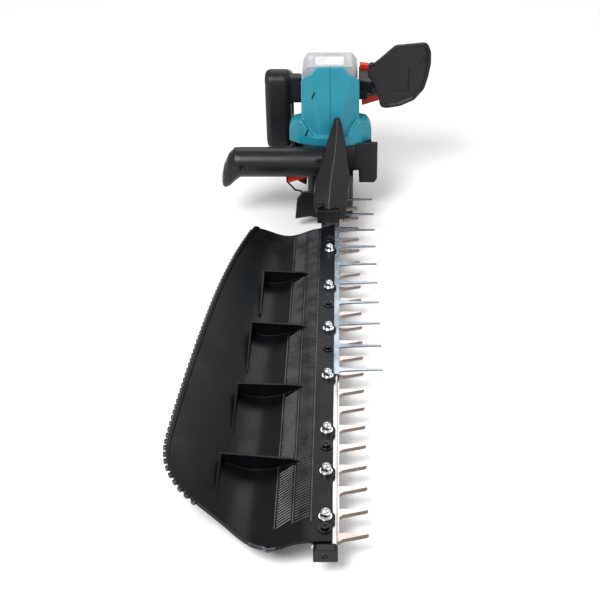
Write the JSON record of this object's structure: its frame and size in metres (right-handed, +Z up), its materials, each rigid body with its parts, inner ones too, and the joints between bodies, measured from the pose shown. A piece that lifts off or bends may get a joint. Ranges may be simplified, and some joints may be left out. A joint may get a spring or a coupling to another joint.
{
  "type": "hedge trimmer",
  "caption": "Cordless single-sided hedge trimmer: toothed shear bar with chip tray and comb, teal motor housing, front, loop and trigger handles, slide-on battery.",
  "frame": {"origin": "on the gear case's flat underside, just in front of the crank's axis", "axes": "+X to the tooth side, +Y from the blade's tip to the battery, +Z up"},
  "size_m": [0.2704, 0.816, 0.212],
  "materials": {
    "ground_steel": "ground teeth and hardened strip",
    "bar_steel": "bright rolled",
    "zinc": "bluish zinc plate",
    "chrome": "bright",
    "black_steel": "black oxide",
    "teal_plastic": "satin moulded",
    "black_plastic": "fine moulded grain",
    "tray_black": "gloss moulded",
    "red_plastic": "satin",
    "case_black": "painted casting",
    "grey_plastic": "satin",
    "motor_steel": "laminated",
    "copper": "enamelled wire",
    "machined_steel": "machined",
    "circuit_green": "potted"
  },
  "bodies": {
    "root": {"acorn_nuts": "chrome", "base_cover": "case_black", "base_cover_screws": "black_steel", "blade_bolts": "black_steel", "blade_washers": "zinc", "chip_tray": "tray_black", "comb_plate": "zinc", "controller": "circuit_green", "crank_bearings": "machined_steel", "flange_spacers": "zinc", "front_guard": "black_plastic", "front_guard_screws": "black_steel", "front_handle_front": "black_plastic", "front_handle_rear": "black_plastic", "front_handle_screws": "black_steel", "front_lever_pin": "machined_steel", "front_lever_spring": "machined_steel", "front_switch": "grey_plastic", "gear_housing": "case_black", "guide_bar": "bar_steel", "housing_left": "teal_plastic", "housing_right": "teal_plastic", "housing_screws": "black_steel", "lever_guard": "black_steel", "lock_off_pin": "machined_steel", "loop_handle_inner": "black_plastic", "loop_handle_outer": "black_plastic", "loop_handle_screws": "black_steel", "lower_shroud": "black_plastic", "right_handle_front": "black_plastic", "right_handle_rear": "black_plastic", "right_handle_screws": "black_steel", "rotor_bearings": "machined_steel", "stator": "motor_steel", "stator_windings": "copper", "terminal_block": "black_plastic", "tip_guard": "black_plastic", "tip_guard_screw": "black_steel", "tray_screws": "black_steel", "tray_washers": "black_steel", "trigger_pin": "machined_steel", "trigger_spring": "machined_steel", "trigger_switch": "grey_plastic"},
    "upper_blade": {"upper_shear_blade": "ground_steel", "upper_yoke": "machined_steel", "upper_yoke_rivets": "machined_steel"},
    "lower_blade": {"lower_shear_blade": "ground_steel", "lower_yoke": "machined_steel", "lower_yoke_rivets": "machined_steel"},
    "crank": {"crank_shaft": "machined_steel", "crank_gear": "machined_steel"},
    "rotor": {"rotor_shaft": "machined_steel", "rotor_core": "motor_steel", "cooling_fan": "black_plastic"},
    "front_lever": {"front_lever": "red_plastic"},
    "trigger": {"trigger": "red_plastic"},
    "lock_off": {"lock_off_lever": "red_plastic"},
    "battery": {"battery_case": "grey_plastic", "battery_cells": "motor_steel"},
    "latch": {"battery_latch": "grey_plastic"}
  },
  "joints": [
    {"name": "upper_blade_slide", "type": "slide", "parent": "root", "child": "upper_blade", "axis": [0, 1, 0], "range_m": [-0.007, 0.007]},
    {"name": "lower_blade_slide", "type": "slide", "parent": "root", "child": "lower_blade", "axis": [0, 1, 0], "range_m": [-0.007, 0.007]},
    {"name": "crank_spin", "type": "hinge", "parent": "root", "child": "crank", "pos_m": [0, 0.008, 0.03], "axis": [0, 0, 1], "continuous": true},
    {"name": "rotor_spin", "type": "hinge", "parent": "root", "child": "rotor", "pos_m": [0, 0.0404, 0.12], "axis": [0, 0, 1], "continuous": true},
    {"name": "front_lever_pivot", "type": "hinge", "parent": "root", "child": "front_lever", "pos_m": [-0.028, -0.04, 0.074], "axis": [0, 1, 0], "range_deg": [0, 8], "stiffness_Nm_per_rad": 0.08, "springref_deg": -14.32, "deforming": ["front_lever_spring"]},
    {"name": "trigger_pivot", "type": "hinge", "parent": "root", "child": "trigger", "pos_m": [0.088, 0.092, 0.133], "axis": [0, 1, 0], "range_deg": [0, 7], "stiffness_Nm_per_rad": 0.12, "springref_deg": -14.32, "deforming": ["trigger_spring"]},
    {"name": "lock_off_pivot", "type": "hinge", "parent": "root", "child": "lock_off", "pos_m": [0.058, 0.092, 0.154], "axis": [0, 1, 0], "range_deg": [-6, 0], "stiffness_Nm_per_rad": 0.04, "springref_deg": 14.32},
    {"name": "battery_slide", "type": "slide", "parent": "root", "child": "battery", "axis": [0, 0, 1], "range_m": [0, 0.1]},
    {"name": "battery_latch_press", "type": "slide", "parent": "battery", "child": "latch", "axis": [0, -1, 0], "range_m": [0, 0.0025], "stiffness_N_per_m": 900, "springref_m": -0.002}
  ],
  "couplings": [
    {"joint": "lower_blade_slide", "follows": "upper_blade_slide", "ratio": -1},
    {"joint": "rotor_spin", "follows": "crank_spin", "ratio": -3.5}
  ]
}
